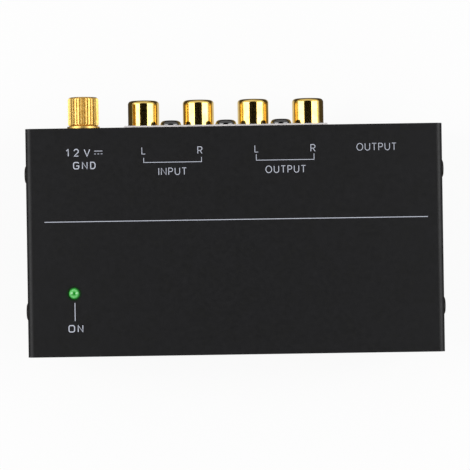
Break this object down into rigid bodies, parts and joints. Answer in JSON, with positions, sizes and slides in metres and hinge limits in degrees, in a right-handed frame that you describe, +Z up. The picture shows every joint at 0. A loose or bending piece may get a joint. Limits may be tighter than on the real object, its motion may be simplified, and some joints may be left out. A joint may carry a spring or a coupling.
{
  "type": "phono preamp",
  "caption": "Small black steel phono preamp box with gold phono sockets, a flush output socket, a supply inlet and a ground screw on its rear panel.",
  "frame": {"origin": "bottom centre of the bounding box, on the surface the feet stand on", "axes": "+X to the right seen from the front, +Y from the plain front to the socket panel at the rear, +Z up"},
  "size_m": [0.107, 0.065, 0.0305],
  "materials": {
    "black_coat": "satin black powder coat on folded steel",
    "black_screw": "black oxide steel",
    "zinc": "zinc or tin plated",
    "rubber": "matte black",
    "green_board": "green solder mask on glass laminate",
    "black_plastic": "moulded black plastic",
    "gold": "gold plated brass",
    "white_plastic": "moulded white plastic",
    "red_plastic": "moulded red plastic",
    "nickel": "nickel plated",
    "green_lens": "green diffused epoxy",
    "can_sleeve": "shrink sleeve on an aluminium can",
    "film_red": "moulded case",
    "ceramic": "dipped ceramic",
    "resistor_blue": "lacquered"
  },
  "bodies": {
    "box": {"top_cover": "black_coat", "chassis": "black_coat", "side_screws": "black_screw", "rca_screws": "black_screw", "board_screws": "zinc", "rubber_feet": "rubber", "circuit_board": "green_board", "board_standoffs": "zinc", "rca_housing": "black_plastic", "rca_face_plate": "zinc", "rca_ground_bar": "zinc", "rca_shell_in_left": "gold", "rca_shell_in_right": "gold", "rca_shell_out_left": "gold", "rca_shell_out_right": "gold", "rca_inserts_left": "white_plastic", "rca_inserts_right": "red_plastic", "rca_centre_contacts": "gold", "trs_housing": "black_plastic", "trs_sleeve_contact": "nickel", "trs_terminals": "nickel", "dc_housing": "black_plastic", "dc_centre_pin": "nickel", "dc_terminal": "nickel", "ground_bush": "gold", "ground_lug": "zinc", "led_lens": "green_lens", "led_spacer": "black_plastic", "led_leads": "zinc", "coupling_capacitors": "can_sleeve", "output_capacitors": "can_sleeve", "supply_capacitors": "can_sleeve", "film_capacitors": "film_red", "bypass_capacitors": "ceramic", "amplifier_chips": "black_plastic", "chip_legs": "zinc", "resistors": "resistor_blue", "resistor_leads": "zinc", "supply_diode": "black_plastic", "diode_leads": "zinc", "voltage_regulator": "black_plastic", "regulator_legs": "zinc"},
    "ground_washer": {"ground_washer": "gold"},
    "ground_thumb_screw": {"ground_thumb_screw": "gold"},
    "trs_tip_spring": {"trs_tip_spring": "nickel"},
    "trs_ring_spring": {"trs_ring_spring": "nickel"},
    "dc_spring": {"dc_spring": "nickel"}
  },
  "joints": [
    {"name": "ground_screw_travel", "type": "slide", "parent": "box", "child": "ground_washer", "axis": [0, 1, 0], "range_m": [0, 0.0028]},
    {"name": "ground_screw_turn", "type": "hinge", "parent": "ground_washer", "child": "ground_thumb_screw", "pos_m": [-0.0378, 0.0245, 0.0235], "axis": [0, 1, 0], "range_deg": [0, 1440]},
    {"name": "trs_tip_flex", "type": "hinge", "parent": "box", "child": "trs_tip_spring", "pos_m": [0.0405, 0.0065, 0.016], "axis": [0, 0, 1], "range_deg": [0, 5], "stiffness_Nm_per_rad": 0.05},
    {"name": "trs_ring_flex", "type": "hinge", "parent": "box", "child": "trs_ring_spring", "pos_m": [0.0309, -0.0045, 0.016], "axis": [0, 0, 1], "range_deg": [0, 5], "stiffness_Nm_per_rad": 0.05},
    {"name": "dc_flex", "type": "hinge", "parent": "box", "child": "dc_spring", "pos_m": [-0.034, 0.0138, 0.012], "axis": [0, 0, -1], "range_deg": [0, 3], "stiffness_Nm_per_rad": 0.05}
  ],
  "couplings": [
    {"joint": "ground_screw_turn", "follows": "ground_screw_travel", "rad_per_m": 8976}
  ]
}
